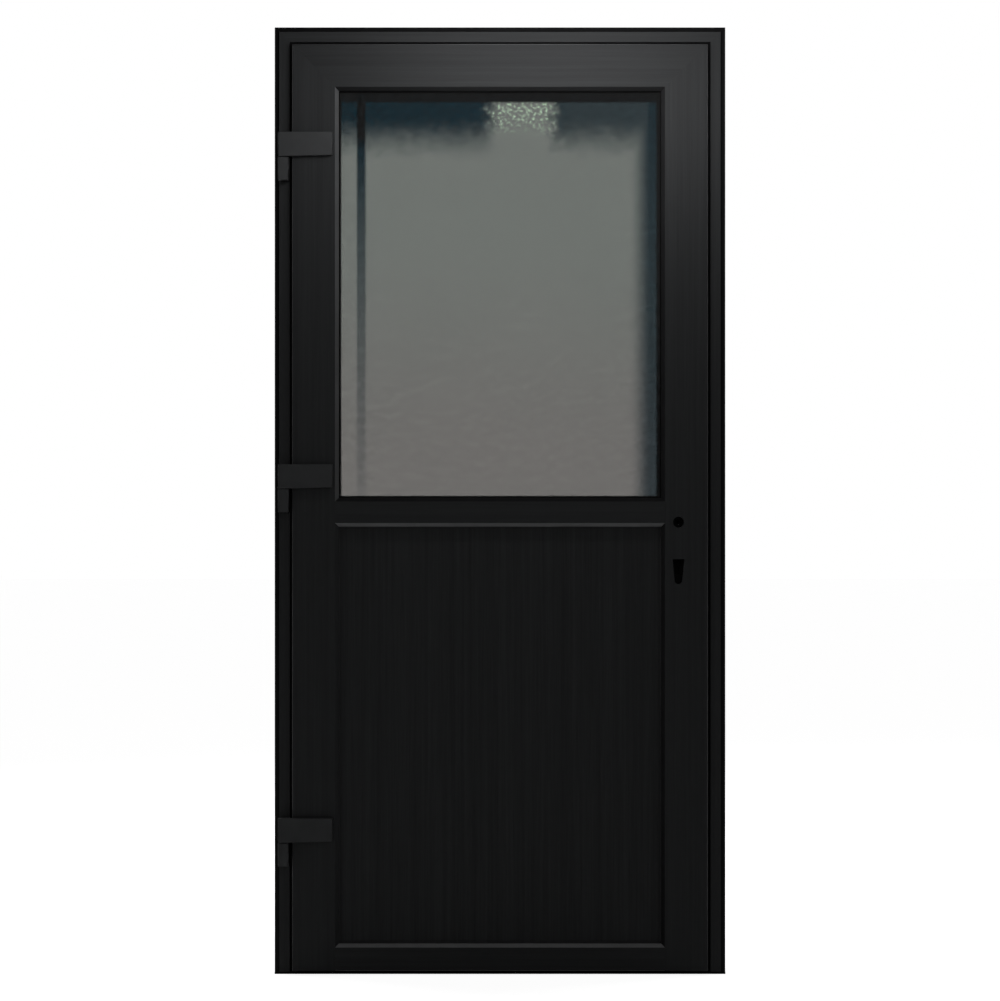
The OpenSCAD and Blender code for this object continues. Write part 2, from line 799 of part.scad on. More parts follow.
// Leaf: stiles, rails and their steels
module hinge_stile() {
    color(profile_colour) difference() {
        mitred_left(leaf_rect, stile_w + cut, true) leaf_section();
        flag_screw_holes();
    }
}
module spindle_bore() {
    drill_y(spindle_x, spindle_z, spindle_hole_r, leaf_front - cut, leaf_back + cut);
}
module cylinder_cutout() {
    top = cylinder_z + cutout_rise;
    foot_r = cutout_foot_w / 2;
    foot = top - cutout_h + foot_r;
    slab([
        [spindle_x - cutout_top_w / 2, top], [spindle_x + cutout_top_w / 2, top],
        [spindle_x + foot_r, foot], [spindle_x - foot_r, foot]
    ]);
    drill_y(spindle_x, foot, foot_r, -reach, reach);
}
module case_pocket() {
    cuboid(
        [case_x0 - bolt_gap, edge_x + cut], about(lock_y, case_t / 2 + bolt_gap),
        [case_z0 - bolt_gap, case_z1 + bolt_gap]
    );
}
module face_screw_holes() {
    for (z = face_screw_zs) drill_x(lock_y, z, screw_r, edge_x - screw_l, edge_x + cut);
}
module lock_stile() {
    color(profile_colour) difference() {
        mitred_right(leaf_rect, stile_w + cut, true) leaf_section();
        spindle_bore();
        cylinder_cutout();
        case_pocket();
        face_screw_holes();
    }
}
module top_rail() {
    color(profile_colour) mitred_top(leaf_rect, stile_w + cut) leaf_section();
}
module mid_rail() {
    color(profile_colour) coped_rail(mid_rail_z, mid_rail_w, true);
}
module bottom_rail() {
    color(profile_colour) coped_rail(leaf_foot, bottom_rail_w, false);
}
leaf_steel_rect = [
    leaf_rect[0], leaf_rect[1], leaf_rect[2], leaf_rect[3] - stile_w - steel_setback
];
module hinge_stile_steel() {
    color(steel_colour) difference() {
        left_bar(leaf_steel_rect) leaf_steel_section();
        flag_screw_holes();
    }
}
module lock_stile_steel() {
    color(steel_colour) difference() {
        right_bar(leaf_steel_rect) leaf_steel_section();
        spindle_bore();
        cylinder_cutout();
        case_pocket();
        face_screw_holes();
    }
}
module top_rail_steel() {
    x = sight_x - steel_setback;
    color(steel_colour) top_bar([-x, leaf_rect[1], x, leaf_rect[3]]) leaf_steel_section();
}
module mid_rail_steel() { rail_steel(mid_rail_z, mid_rail_w, true); }
module bottom_rail_steel() { rail_steel(leaf_foot, bottom_rail_w, false); }

// Glass unit, panel, gaskets, blocks and beads
module front_pane() {
    color("#8d9492", 0.6) plate(glass_edge, unit_y, unit_y + pane_t);
}
module rear_pane() {
    y = unit_y + pane_t + cavity;
    color("#8d9492", 0.6) plate(glass_edge, y, y + pane_t);
}
module glass_spacer() {
    y = unit_y + pane_t;
    edge_cover = glazing_cover - edge_gap;
    color("#7d8283") ring(
        grown(glass_edge, -edge_gap / 2), grown(glass_edge, -edge_cover - spacer_show),
        y, y + cavity
    );
}
module gasket_pair(sight) {
    outer = grown(sight, glazing_cover - 2 * edge_gap);
    inner = grown(sight, -gasket_show);
    color(rubber_colour) {
        ring(outer, inner, glass_lip_y, unit_y);
        ring(outer, inner, unit_y + unit_t, bead_y);
    }
}
module glass_gasket() { gasket_pair(glass_sight); }
module panel_gasket() { gasket_pair(panel_sight); }
module lower_panel() {
    color(profile_colour) plate(panel_edge, unit_y, unit_y + unit_t);
}
module setting_blocks() {
    for (r = [glass_floor, panel_floor], s = [0, 1]) {
        x = s == 0 ? r[0] + block_inset : r[2] - block_inset - block_l;
        color("#3b6ea5") {
            cuboid([x, x + block_l], [unit_y, unit_y + unit_t], [r[1], r[1] + edge_gap]);
        }
    }
}
module bead_section() {
    c = glazing_cover;
    polygon([
        [0, bead_y], [c, bead_y], [c, leaf_back - bead_slope], [c - bead_slope, leaf_back],
        [edge_c, leaf_back], [0, leaf_back - edge_c]
    ]);
}
module glass_bead_top() {
    color(profile_colour) mitred_top(glass_floor, glazing_cover + cut) bead_section();
}
module glass_bead_bottom() {
    color(profile_colour) mitred_bottom(glass_floor, glazing_cover + cut) bead_section();
}
module glass_bead_hinge_side() {
    color(profile_colour) mitred_left(glass_floor, glazing_cover + cut) bead_section();
}
module glass_bead_lock_side() {
    color(profile_colour) mitred_right(glass_floor, glazing_cover + cut) bead_section();
}
module panel_bead_top() {
    color(profile_colour) mitred_top(panel_floor, glazing_cover + cut) bead_section();
}
module panel_bead_bottom() {
    color(profile_colour) mitred_bottom(panel_floor, glazing_cover + cut) bead_section();
}
module panel_bead_hinge_side() {
    color(profile_colour) mitred_left(panel_floor, glazing_cover + cut) bead_section();
}
module panel_bead_lock_side() {
    color(profile_colour) mitred_right(panel_floor, glazing_cover + cut) bead_section();
}

// Seal in the groove behind the leaf's lip
module leaf_seal_section() {
    u = [leaf_seal_inset, leaf_seal_inset + seal_w];
    chamber(u, [lip_y - seal_groove, frame_front - seal_gap]);
}
module leaf_seal() {
    w = leaf_seal_inset + seal_w + cut;
    color(rubber_colour) {
        mitred_left(leaf_rect, w, true) leaf_seal_section();
        mitred_right(leaf_rect, w, true) leaf_seal_section();
        mitred_top(leaf_rect, w) leaf_seal_section();
    }
}

// Lock: case, faceplate and the parts that move in it
module lock_case() {
    color(steel_colour) difference() {
        cuboid([case_x0, case_x1], about(lock_y, case_t / 2), [case_z0, case_z1]);
        cuboid(
            [case_x0 + case_wall, case_x1 + cut], about(lock_y, case_t / 2 - case_wall),
            [case_z0 + case_wall, case_z1 - case_wall]
        );
        drill_y(spindle_x, spindle_z, journal_r + fit, lock_y - case_t, lock_y + case_t);
        drill_y(spindle_x, cylinder_z, cylinder_r, lock_y - case_t, lock_y + case_t);
        cuboid(
            about(spindle_x, cylinder_slot_w / 2), about(lock_y, case_t),
            [cylinder_z - cylinder_foot, cylinder_z]
        );
    }
}
module faceplate() {
    end_r = faceplate_w / 2;
    color(steel_colour) difference() {
        union() {
            cuboid([case_x1, edge_x], about(lock_y, end_r), [face_z0 + end_r, face_z1 - end_r]);
            for (z = [face_z0 + end_r, face_z1 - end_r]) {
                drill_x(lock_y, z, end_r, case_x1, edge_x);
            }
        }
        bolt_window(latch_z, latch_h, case_x1 - cut, edge_x + cut);
        bolt_window(deadbolt_z, deadbolt_h, case_x1 - cut, edge_x + cut);
        for (z = face_screw_zs) {
            drill_x(lock_y, z, screw_r, case_x1 - cut, edge_x + cut);
            translate([edge_x, lock_y, z]) mirror([1, 0, 0]) screw_sink();
        }
    }
}
module faceplate_screws() {
    for (z = face_screw_zs) {
        color(steel_colour) translate([edge_x, lock_y, z]) mirror([1, 0, 0]) screw();
    }
}
module follower() {
    inner_t = case_t - 2 * case_wall - 2 * bolt_gap;
    color("#b8a468") difference() {
        union() {
            drill_y(
                spindle_x, spindle_z, journal_r, lock_y - case_t / 2, lock_y + case_t / 2
            );
            drill_y(
                spindle_x, spindle_z, collar_r, lock_y - inner_t / 2, lock_y + inner_t / 2
            );
            translate([spindle_x, lock_y, spindle_z]) rotate([0, arm_rest, 0]) {
                cuboid(about(0, arm_w / 2), about(0, arm_t / 2), [0, arm_l]);
            }
        }
        cuboid(
            about(spindle_x, square_w / 2), about(lock_y, case_t),
            about(spindle_z, square_w / 2)
        );
    }
}
module latch_bolt() {
    y0 = lock_y - bolt_t / 2;
    y1 = lock_y + bolt_t / 2;
    tip = edge_x + latch_throw;
    slope = bolt_t - steel_t;
    color(steel_colour) {
        translate([0, 0, latch_z - latch_h / 2]) linear_extrude(latch_h) polygon([
            [case_x1, y0], [tip, y0], [tip, y1 - slope], [tip - slope, y1], [case_x1, y1]
        ]);
        cuboid([lug_x1 - lug_w, case_x1 + cut], [y0, y1], [tail_z0, latch_z + latch_h / 2]);
        cuboid([lug_x1 - lug_w, lug_x1], [y0, y1], [lug_z0, tail_z0 + cut]);
    }
}
module deadbolt() {
    color(steel_colour) cuboid(
        [edge_x - deadbolt_l - stile_extra, edge_x], about(lock_y, bolt_t / 2),
        about(deadbolt_z, deadbolt_h / 2)
    );
}

frame_head();
frame_hinge_jamb();
frame_lock_jamb();
frame_head_steel();
frame_hinge_jamb_steel();
frame_lock_jamb_steel();
frame_seal();
threshold();
strike_plate();
strike_screws();
hinge_top_knuckle();
hinge_middle_knuckle();
hinge_bottom_knuckle();
hinge_pins();
hinge_stile();
lock_stile();
top_rail();
mid_rail();
bottom_rail();
hinge_stile_steel();
lock_stile_steel();
top_rail_steel();
mid_rail_steel();
bottom_rail_steel();
front_pane();
rear_pane();
glass_spacer();
glass_gasket();
lower_panel();
panel_gasket();
glass_bead_top();
glass_bead_bottom();
glass_bead_hinge_side();
glass_bead_lock_side();
panel_bead_top();
panel_bead_bottom();
panel_bead_hinge_side();
panel_bead_lock_side();
setting_blocks();
leaf_seal();
hinge_top_flag();
hinge_middle_flag();
hinge_bottom_flag();
hinge_top_cover();
hinge_middle_cover();
hinge_bottom_cover();
hinge_bushes();
hinge_screws();
lock_case();
faceplate();
faceplate_screws();
follower();
latch_bolt();
deadbolt();
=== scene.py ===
"""Looks of a half-glazed side-entrance door in its frame.

Metres, +X to the lock side, +Y to the back, +Z up. The door stands on the floor at z = 0.
"""

import json
import math

import bmesh
import bpy
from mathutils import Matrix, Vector

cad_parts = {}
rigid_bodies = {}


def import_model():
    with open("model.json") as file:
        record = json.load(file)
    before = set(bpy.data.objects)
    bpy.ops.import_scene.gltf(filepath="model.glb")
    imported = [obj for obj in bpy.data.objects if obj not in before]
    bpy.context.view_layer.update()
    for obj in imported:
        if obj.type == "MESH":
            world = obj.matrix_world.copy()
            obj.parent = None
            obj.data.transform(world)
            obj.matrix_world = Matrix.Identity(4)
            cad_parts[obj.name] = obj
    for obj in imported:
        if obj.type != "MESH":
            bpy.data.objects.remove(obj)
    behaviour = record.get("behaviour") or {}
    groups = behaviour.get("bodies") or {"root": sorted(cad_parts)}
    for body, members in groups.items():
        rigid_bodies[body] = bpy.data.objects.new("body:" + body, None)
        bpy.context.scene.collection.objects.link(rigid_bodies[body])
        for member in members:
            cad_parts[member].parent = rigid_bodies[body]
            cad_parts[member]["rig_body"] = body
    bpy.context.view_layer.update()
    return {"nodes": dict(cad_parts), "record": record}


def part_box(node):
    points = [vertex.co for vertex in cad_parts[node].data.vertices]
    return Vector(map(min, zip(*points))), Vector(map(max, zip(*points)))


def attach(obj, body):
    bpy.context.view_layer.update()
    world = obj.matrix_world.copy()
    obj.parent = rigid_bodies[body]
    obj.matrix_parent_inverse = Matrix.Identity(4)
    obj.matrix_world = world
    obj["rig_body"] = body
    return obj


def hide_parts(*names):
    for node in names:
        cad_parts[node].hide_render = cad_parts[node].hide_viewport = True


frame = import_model()
NODES = frame["nodes"]
SLOTS = {s["node"]: s["material_slot"] for s in frame["record"]["subparts"]}
scene = bpy.context.scene
scene.view_settings.view_transform = "Standard"

# The photograph's frame and the camera that matches it
IMAGE_H = 1001
METRES_PER_PIXEL = 0.0022175
CAMERA_DISTANCE = 6.0
CAMERA_HEIGHT = 1.05
SENSOR = 36.0

# Rounded edges. Near a profile's ends, the edges of its cut faces stay sharp and closed.
PROFILE_ROUND = 0.0009
HINGE_ROUND = 0.0016
METAL_ROUND = 0.0004
SHORTEST_ROUNDED = 0.003
HINGE_SHORTEST = 0.0025
CUT_FACE = 0.6
END_REACH = 0.12
ROUND_SEGMENTS = 2
MERGE_DISTANCE = 1e-6
SHARP_ANGLE = math.radians(30)
FLAT_ANGLE = math.radians(0.5)

# Faces further back than this, and not facing the back, are bare core and not foil; the core is
# darkened as painted shade
FRAME_FOIL_BACK = -0.034
LEAF_FOIL_BACK = -0.0384


def linear(srgb):
    """A grey or colour from its 0 to 255 screen values."""
    def channel(value):
        c = value / 255
        return c / 12.92 if c <= 0.04045 else ((c + 0.055) / 1.055) ** 2.4

    return tuple(channel(v) for v in srgb) + (1.0,)


def darker(colour, share):
    return tuple(c * share for c in colour[:3]) + (1.0,)


# Materials
def new_material(name):
    made = bpy.data.materials.new(name)
    made.use_nodes = True
    return made, made.node_tree, made.node_tree.nodes["Principled BSDF"]


def add(tree, kind, inputs=None, **settings):
    """A node with its settings, and with its inputs given as values or as sockets to link."""
    node = tree.nodes.new(kind)
    for key, value in settings.items():
        setattr(node, key, value)
    for key, value in (inputs or {}).items():
        socket = node.inputs[key]
        if isinstance(value, bpy.types.NodeSocket):
            tree.links.new(value, socket)
        else:
            socket.default_value = value
    return node


def object_pattern(tree, scale):
    """Object coordinates stretched by a scale per axis, in cycles per metre."""
    coords = add(tree, "ShaderNodeTexCoord")
    return add(
        tree, "ShaderNodeMapping", {"Vector": coords.outputs["Object"], "Scale": scale}
    ).outputs["Vector"]


def noise(tree, vector, detail=3.0, roughness=0.55, distortion=0.0):
    return add(tree, "ShaderNodeTexNoise", {
        "Vector": vector, "Scale": 1.0, "Detail": detail, "Roughness": roughness,
        "Distortion": distortion,
    }).outputs["Fac"]


def remap(tree, value, low, high, from_low=0.3, from_high=0.7):
    return add(tree, "ShaderNodeMapRange", {
        "Value": value, "From Min": from_low, "From Max": from_high,
        "To Min": low, "To Max": high,
    }).outputs["Result"]


def math_node(tree, operation, a, b):
    return add(tree, "ShaderNodeMath", {0: a, 1: b}, operation=operation).outputs["Value"]


def blend_colours(tree, factor, a, b):
    return add(tree, "ShaderNodeMix", {0: factor, 6: a, 7: b}, data_type="RGBA").outputs[2]


def bump(tree, shader, height, distance, strength=1.0):
    made = add(tree, "ShaderNodeBump", {
        "Height": height, "Distance": distance, "Strength": strength,
    })
    tree.links.new(made.outputs["Normal"], shader.inputs["Normal"])


# Cycles per metre of the foil's grain: fine pores and broad streaks, across and along
PORES = (430.0, 7.0)
STREAKS = (85.0, 0.9)
PORE_SHARE = 0.45
STREAK_SHARE = 0.55
FIGURE_RANGE = (0.36, 0.64)
FOIL_ROUGHNESS = (0.46, 0.62)
FOIL_SPECULAR = 0.22

# The same for paint, plastic and bare metal, and how far their roughness strays
CLOUD_CYCLES = 14.0
PLASTIC_SPREAD = 0.06
DRAWN_LINES = (1500.0, 12.0)
METAL_CLOUD_CYCLES = 9.0
METAL_SPREAD = (-0.07, 0.09)
DRAWN_RELIEF = 0.00003
SPANGLE_CYCLES = 110.0


def grain_scale(along, across_and_along):
    across, lengthwise = across_and_along
    return [lengthwise if axis == along else across for axis in "XYZ"]


def foil(name, colour, along, contrast=0.16, relief=0.00022):
    """Embossed anthracite foil with its wood grain along one axis."""
    made, tree, shader = new_material(name)
    pores = noise(tree, object_pattern(tree, grain_scale(along, PORES)), 4.0, 0.6)
    streaks = noise(tree, object_pattern(tree, grain_scale(along, STREAKS)), 5.0, 0.65, 0.4)
    figure = math_node(tree, "ADD", math_node(tree, "MULTIPLY", pores, PORE_SHARE),
                       math_node(tree, "MULTIPLY", streaks, STREAK_SHARE))
    tone = remap(tree, figure, 0.0, 1.0, *FIGURE_RANGE)
    colour_out = blend_colours(tree, tone, darker(colour, 1 - contrast), darker(colour, 1 + contrast))
    tree.links.new(colour_out, shader.inputs["Base Color"])
    tree.links.new(remap(tree, pores, *FOIL_ROUGHNESS), shader.inputs["Roughness"])
    shader.inputs["Specular IOR Level"].default_value = FOIL_SPECULAR
    bump(tree, shader, figure, relief)
    return made


def moulded(name, colour, roughness, cycles=900.0, relief=0.00006, specular=0.3, contrast=0.1):
    """Moulded plastic, rubber or satin paint: a fine even texture."""
    made, tree, shader = new_material(name)
    grain = noise(tree, object_pattern(tree, (cycles,) * 3), 3.0)
    cloud = noise(tree, object_pattern(tree, (CLOUD_CYCLES,) * 3), 4.0)
    tone = remap(tree, cloud, 0.0, 1.0)
    colour_out = blend_colours(tree, tone, darker(colour, 1 - contrast), darker(colour, 1 + contrast))
    tree.links.new(colour_out, shader.inputs["Base Color"])
    matt = remap(tree, grain, roughness - PLASTIC_SPREAD, roughness + PLASTIC_SPREAD)
    tree.links.new(matt, shader.inputs["Roughness"])
    shader.inputs["Specular IOR Level"].default_value = specular
    bump(tree, shader, grain, relief)
    return made


def brushed(name, colour, along, roughness=0.34, contrast=0.12):
    """Bare metal with fine drawn lines along one axis."""
    made, tree, shader = new_material(name)
    lines = noise(tree, object_pattern(tree, grain_scale(along, DRAWN_LINES)), 3.0)
    cloud = noise(tree, object_pattern(tree, (METAL_CLOUD_CYCLES,) * 3), 3.0)
    tone = remap(tree, cloud, 0.0, 1.0)
    colour_out = blend_colours(tree, tone, darker(colour, 1 - contrast), darker(colour, 1.0))
    tree.links.new(colour_out, shader.inputs["Base Color"])
    matt = remap(tree, lines, *(roughness + stray for stray in METAL_SPREAD))
    tree.links.new(matt, shader.inputs["Roughness"])
    shader.inputs["Metallic"].default_value = 1.0
    bump(tree, shader, lines, DRAWN_RELIEF)
    return made


def zinc(name):
    """Zinc-coated steel with its spangle."""
    made, tree, shader = new_material(name)
    spangle = add(tree, "ShaderNodeTexVoronoi", {
        "Vector": object_pattern(tree, (SPANGLE_CYCLES,) * 3), "Scale": 1.0,
    }).outputs["Color"]
    value = add(tree, "ShaderNodeRGBToBW", {"Color": spangle}).outputs["Val"]
    tree.links.new(
        blend_colours(tree, value, linear((150, 154, 158)), linear((186, 190, 194))),
        shader.inputs["Base Color"],
    )
    tree.links.new(remap(tree, value, 0.35, 0.55, 0.0, 1.0), shader.inputs["Roughness"])
    shader.inputs["Metallic"].default_value = 1.0
    return made


def axis_value(tree, axis):
    coords = add(tree, "ShaderNodeTexCoord")
    split = add(tree, "ShaderNodeSeparateXYZ", {"Vector": coords.outputs["Object"]})
    return split.outputs[axis]


def band(tree, value, start, end):
    """0 before start and 1 after end, smooth between them."""
    return add(tree, "ShaderNodeMapRange", {
        "Value": value, "From Min": start, "From Max": end, "To Min": 0.0, "To Max": 1.0,
    }, interpolation_type="SMOOTHSTEP").outputs["Result"]


# Where the obscure pane's painted light changes: painted shade at the top, left out in a lighter
# patch of painted glints, with a black painted shadow line at its edge; a painted reflection line
# near the hinge side that fades downwards and turns black near its top; and painted shade on the lock
# side with a black painted shadow line.
# Each pair is where a change starts and ends, in metres, or the shares at its two ends.
GLASS_TOP_PAINTED_SHADE = (1.8, 1.9)
GLASS_TOP_SHADOW_LINE = (1.93, 1.937)
GLASS_SIDE_SHADOW_LINE = (0.344, 0.350)
GLASS_REFLECTION_LINE_FADE = (1.06, 1.85)
GLASS_REFLECTION_LINE_SHARE = (0.2, 1.0)
GLASS_HIGHLIGHT_PATCH_X = (-0.022, 0.12)
GLASS_HIGHLIGHT_PATCH_FADE = 0.02
GLASS_TOP_SHADE_WANDER = 0.07
GLASS_HIGHLIGHT_PATCH_WANDER = 0.1
GLASS_GLINT_Z = (1.85, 1.915)
GLASS_GLINT_NOISE = (0.52, 0.62)
GLASS_GLINT_CYCLES = 150.0
GLASS_TOP_SHADE_RIGHT_X = (0.1, 0.16)
GLASS_TOP_SHADE_RIGHT_SHARE = 0.88
GLASS_REFLECTION_LINE_BLACK = (1.82, 1.86)
GLASS_REFLECTION_LINE_START = (-0.3205, -0.3145)
GLASS_REFLECTION_LINE_END = (-0.3025, -0.2945)
GLASS_SIDE_PAINTED_SHADE = (0.285, 0.335)
GLASS_SIDE_SHADE_SHARE = (0.83, 0.97)
GLASS_SIDE_SHADE_Z = (1.1, 1.9)
GLASS_WARM_Z = (1.1, 1.7)
GLASS_TONE = linear((131, 130, 128))
GLASS_WARM_TONE = linear((133, 125, 125))
GLASS_SHADE_TEAL = linear((2, 34, 45))
GLASS_SHADOW_BLACK = linear((3, 6, 8))
GLASS_GLINT_TONE = linear((196, 212, 188))
GLASS_GLOSS = 0.25
GLASS_IOR = 1.5
GLASS_RIPPLE_CYCLES = 60.0
GLASS_FINE_CYCLES = 420.0
GLASS_FINE_RELIEF = 0.0002
OBSCURE_ROUGHNESS = 0.22
CLEAR_ROUGHNESS = 0.02
CLEAR_WAVE_CYCLES = 3.0
CLEAR_TINTS = (linear((214, 226, 221)), linear((222, 232, 227)))


def make_glass(shader, roughness):
    shader.inputs["Specular IOR Level"].default_value = GLASS_GLOSS
    shader.inputs["Roughness"].default_value = roughness
    shader.inputs["IOR"].default_value = GLASS_IOR
    shader.inputs["Transmission Weight"].default_value = 1.0


def obscure_glass_painted_light(name):
    """Rolled obscure glass with painted light: painted shade in blue-green at the top and at the
    sides, painted glints, a painted reflection line and black painted shadow lines.
    """
    made, tree, shader = new_material(name)
    x, z = axis_value(tree, "X"), axis_value(tree, "Z")
    ripple = noise(tree, object_pattern(tree, (GLASS_RIPPLE_CYCLES,) * 3), 5.0, 0.7)
    wander = math_node(tree, "SUBTRACT", ripple, 0.5)
    loose_x, loose_z = (
        math_node(tree, "ADD", place, math_node(tree, "MULTIPLY", wander, reach))
        for place, reach in ((x, GLASS_HIGHLIGHT_PATCH_WANDER), (z, GLASS_TOP_SHADE_WANDER))
    )
    # Painted shade at the top, a little lighter towards the lock side and left out in the patch of
    # painted highlight
    top_shade_mask = band(tree, loose_z, *GLASS_TOP_PAINTED_SHADE)
    top_shade_mask = math_node(
        tree, "MULTIPLY", top_shade_mask, remap(tree, x, 1.0, GLASS_TOP_SHADE_RIGHT_SHARE, *GLASS_TOP_SHADE_RIGHT_X)
    )
    highlight_patch = math_node(tree, "SUBTRACT", *(
        band(tree, loose_x, edge - GLASS_HIGHLIGHT_PATCH_FADE, edge + GLASS_HIGHLIGHT_PATCH_FADE)
        for edge in GLASS_HIGHLIGHT_PATCH_X
    ))
    top_shade_mask = math_node(
        tree, "MULTIPLY", top_shade_mask, math_node(tree, "SUBTRACT", 1.0, highlight_patch)
    )
    # Painted shade on the lock side, and a painted reflection line near the hinge side
    lock_side_shade = band(tree, x, *GLASS_SIDE_PAINTED_SHADE)
    reflection_line = math_node(
        tree, "SUBTRACT", band(tree, x, *GLASS_REFLECTION_LINE_START), band(tree, x, *GLASS_REFLECTION_LINE_END)
    )
    fade = remap(tree, z, *GLASS_REFLECTION_LINE_SHARE, *GLASS_REFLECTION_LINE_FADE)
    lock_side_share = remap(tree, z, *GLASS_SIDE_SHADE_SHARE, *GLASS_SIDE_SHADE_Z)
    shade_amount = math_node(tree, "MAXIMUM", top_shade_mask, math_node(tree, "MULTIPLY", lock_side_shade, lock_side_share))
    shade_amount = math_node(tree, "MAXIMUM", shade_amount, math_node(tree, "MULTIPLY", reflection_line, fade))
    # Black painted shadow lines along the top and lock-side edges, and the black top of the painted
    # reflection line
    edge = math_node(
        tree, "MAXIMUM", band(tree, z, *GLASS_TOP_SHADOW_LINE), band(tree, x, *GLASS_SIDE_SHADOW_LINE)
    )
    reflection_black_line = math_node(tree, "MULTIPLY", reflection_line, band(tree, z, *GLASS_REFLECTION_LINE_BLACK))
    edge = math_node(tree, "MAXIMUM", edge, reflection_black_line)
    plain = blend_colours(tree, band(tree, z, *GLASS_WARM_Z), GLASS_WARM_TONE, GLASS_TONE)
    # Painted glints in the highlight patch near the top
    glint_noise = noise(tree, object_pattern(tree, (GLASS_GLINT_CYCLES,) * 3), 2.0)
    painted_glints = math_node(tree, "MULTIPLY", band(tree, glint_noise, *GLASS_GLINT_NOISE), highlight_patch)
    painted_glints = math_node(tree, "MULTIPLY", painted_glints, band(tree, z, *GLASS_GLINT_Z))
    plain = blend_colours(tree, painted_glints, plain, GLASS_GLINT_TONE)
    tone = blend_colours(tree, shade_amount, plain, GLASS_SHADE_TEAL)
    tree.links.new(blend_colours(tree, edge, tone, GLASS_SHADOW_BLACK), shader.inputs["Base Color"])
    make_glass(shader, OBSCURE_ROUGHNESS)
    fine = noise(tree, object_pattern(tree, (GLASS_FINE_CYCLES,) * 3), 3.0)
    bump(tree, shader, fine, GLASS_FINE_RELIEF)
    return made


def clear_glass(name):
    """Smooth float glass with a faint green tint."""
    made, tree, shader = new_material(name)
    wave = noise(tree, object_pattern(tree, (CLEAR_WAVE_CYCLES,) * 3), 1.0)
    tree.links.new(blend_colours(tree, wave, *CLEAR_TINTS), shader.inputs["Base Color"])
    make_glass(shader, CLEAR_ROUGHNESS)
    return made


ANTHRACITE = linear((56, 57, 58))
PANEL_TONE = linear((56, 57, 58))
# Hinge paint, made lighter than the foil as a painted highlight
HINGE_HIGHLIGHT_TONE = linear((78, 79, 80))
# Bare core, its tone darkened as painted shade in the rebates, grooves and steps
BARE_CORE_SHADE_TONE = linear((22, 22, 23))
# Painted highlight on edges, a brighter painted highlight on some bevels, and painted shade on others
EDGE_HIGHLIGHT_TONE = linear((92, 93, 94))
BEVEL_HIGHLIGHT_TONE = linear((132, 133, 134))
BEVEL_SHADE_TONE = linear((40, 40, 41))

FOIL_UPRIGHT = foil("foil_upright", ANTHRACITE, "Z")
FOIL_LEVEL = foil("foil_level", ANTHRACITE, "X")
PANEL_FOIL = foil("panel_foil", PANEL_TONE, "Z", 0.24, 0.0003)
# Lit and shaded copies of the foil: painted highlights and painted shade for edges and bevels
EDGE_PAINTED_HIGHLIGHT = moulded("edge_painted_highlight", EDGE_HIGHLIGHT_TONE, 0.32, 700.0, 0.00003, 0.5)
BEVEL_PAINTED_HIGHLIGHT = moulded("bevel_painted_highlight", BEVEL_HIGHLIGHT_TONE, 0.32, 700.0, 0.00003, 0.5)
BEVEL_PAINTED_SHADE = moulded("bevel_painted_shade", BEVEL_SHADE_TONE, 0.55, 700.0, 0.00003, 0.15)
# Bare core, dark also as painted shade
CORE_AND_PAINTED_SHADE = moulded("bare_core_painted_shade", BARE_CORE_SHADE_TONE, 0.6, specular=0.15)
# Hinge paint with a painted highlight in its lighter tone
HINGE_PAINT_AND_HIGHLIGHT = moulded("hinge_paint_painted_highlight", HINGE_HIGHLIGHT_TONE, 0.42, 600.0, 0.00003, 0.1)
RUBBER = moulded("seal_rubber", linear((22, 22, 22)), 0.7, specular=0.15)
# Rubber made lighter grey: painted light that evens out the shade beside the panel
GREY_RUBBER_PAINTED_LIGHT = moulded("grey_rubber_painted_light", linear((74, 74, 75)), 0.7, specular=0.15)
ZINC = zinc("zinc_coated_steel")
PLAIN_STEEL = brushed("drawn_steel", linear((196, 198, 200)), "Z")
DARK_ANODISED = brushed("dark_anodised_sill", linear((40, 40, 41)), "X", 0.45)
SPACER_METAL = brushed("spacer_metal", linear((168, 171, 173)), "Z", 0.38)
# Blackened steel, also used as painted shade in holes: the lock parts behind its holes, the screws'
# cross recesses and the spacer's breathing holes
BLACKENED_AND_HOLE_SHADE = moulded("blackened_steel", linear((14, 14, 15)), 0.55, specular=0.2)
NYLON = moulded("nylon_bush", linear((34, 34, 35)), 0.5)
BLOCK_PLASTIC = moulded("setting_block", linear((46, 66, 92)), 0.5)
OBSCURE = obscure_glass_painted_light("obscure_glass_painted_light")
CLEAR = clear_glass("clear_glass")

PLAIN_FINISH = {
    "reinforcement": ZINC,
    "threshold": DARK_ANODISED,
    "seal": RUBBER,
    "glass": CLEAR,
    "spacer": SPACER_METAL,
    "hinge": HINGE_PAINT_AND_HIGHLIGHT,
    "hinge_cover": HINGE_PAINT_AND_HIGHLIGHT,
    "plain_steel": PLAIN_STEEL,
    "blackened_steel": BLACKENED_AND_HOLE_SHADE,
    "bush": NYLON,
    "block": BLOCK_PLASTIC,
    "panel": PANEL_FOIL,
    "profile": FOIL_UPRIGHT,
    "bead": FOIL_UPRIGHT,
}


def dress(node, finish):
    mesh = NODES[node].data
    mesh.materials.clear()
    mesh.materials.append(finish)


for node_name, slot_name in SLOTS.items():
    dress(node_name, PLAIN_FINISH[slot_name])
# The panel's gasket takes the lightened rubber, painted light over the shade beside the panel
dress("panel_gasket", GREY_RUBBER_PAINTED_LIGHT)


# Pieces that stand for CAD nodes
def new_object(name, data):
    made = bpy.data.objects.new(name, data)
    scene.collection.objects.link(made)
    return made


def stand_for(piece, node):
    """Lets a piece ride with a CAD node's body and take that node's place."""
    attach(piece, NODES[node]["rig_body"])
    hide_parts(node)


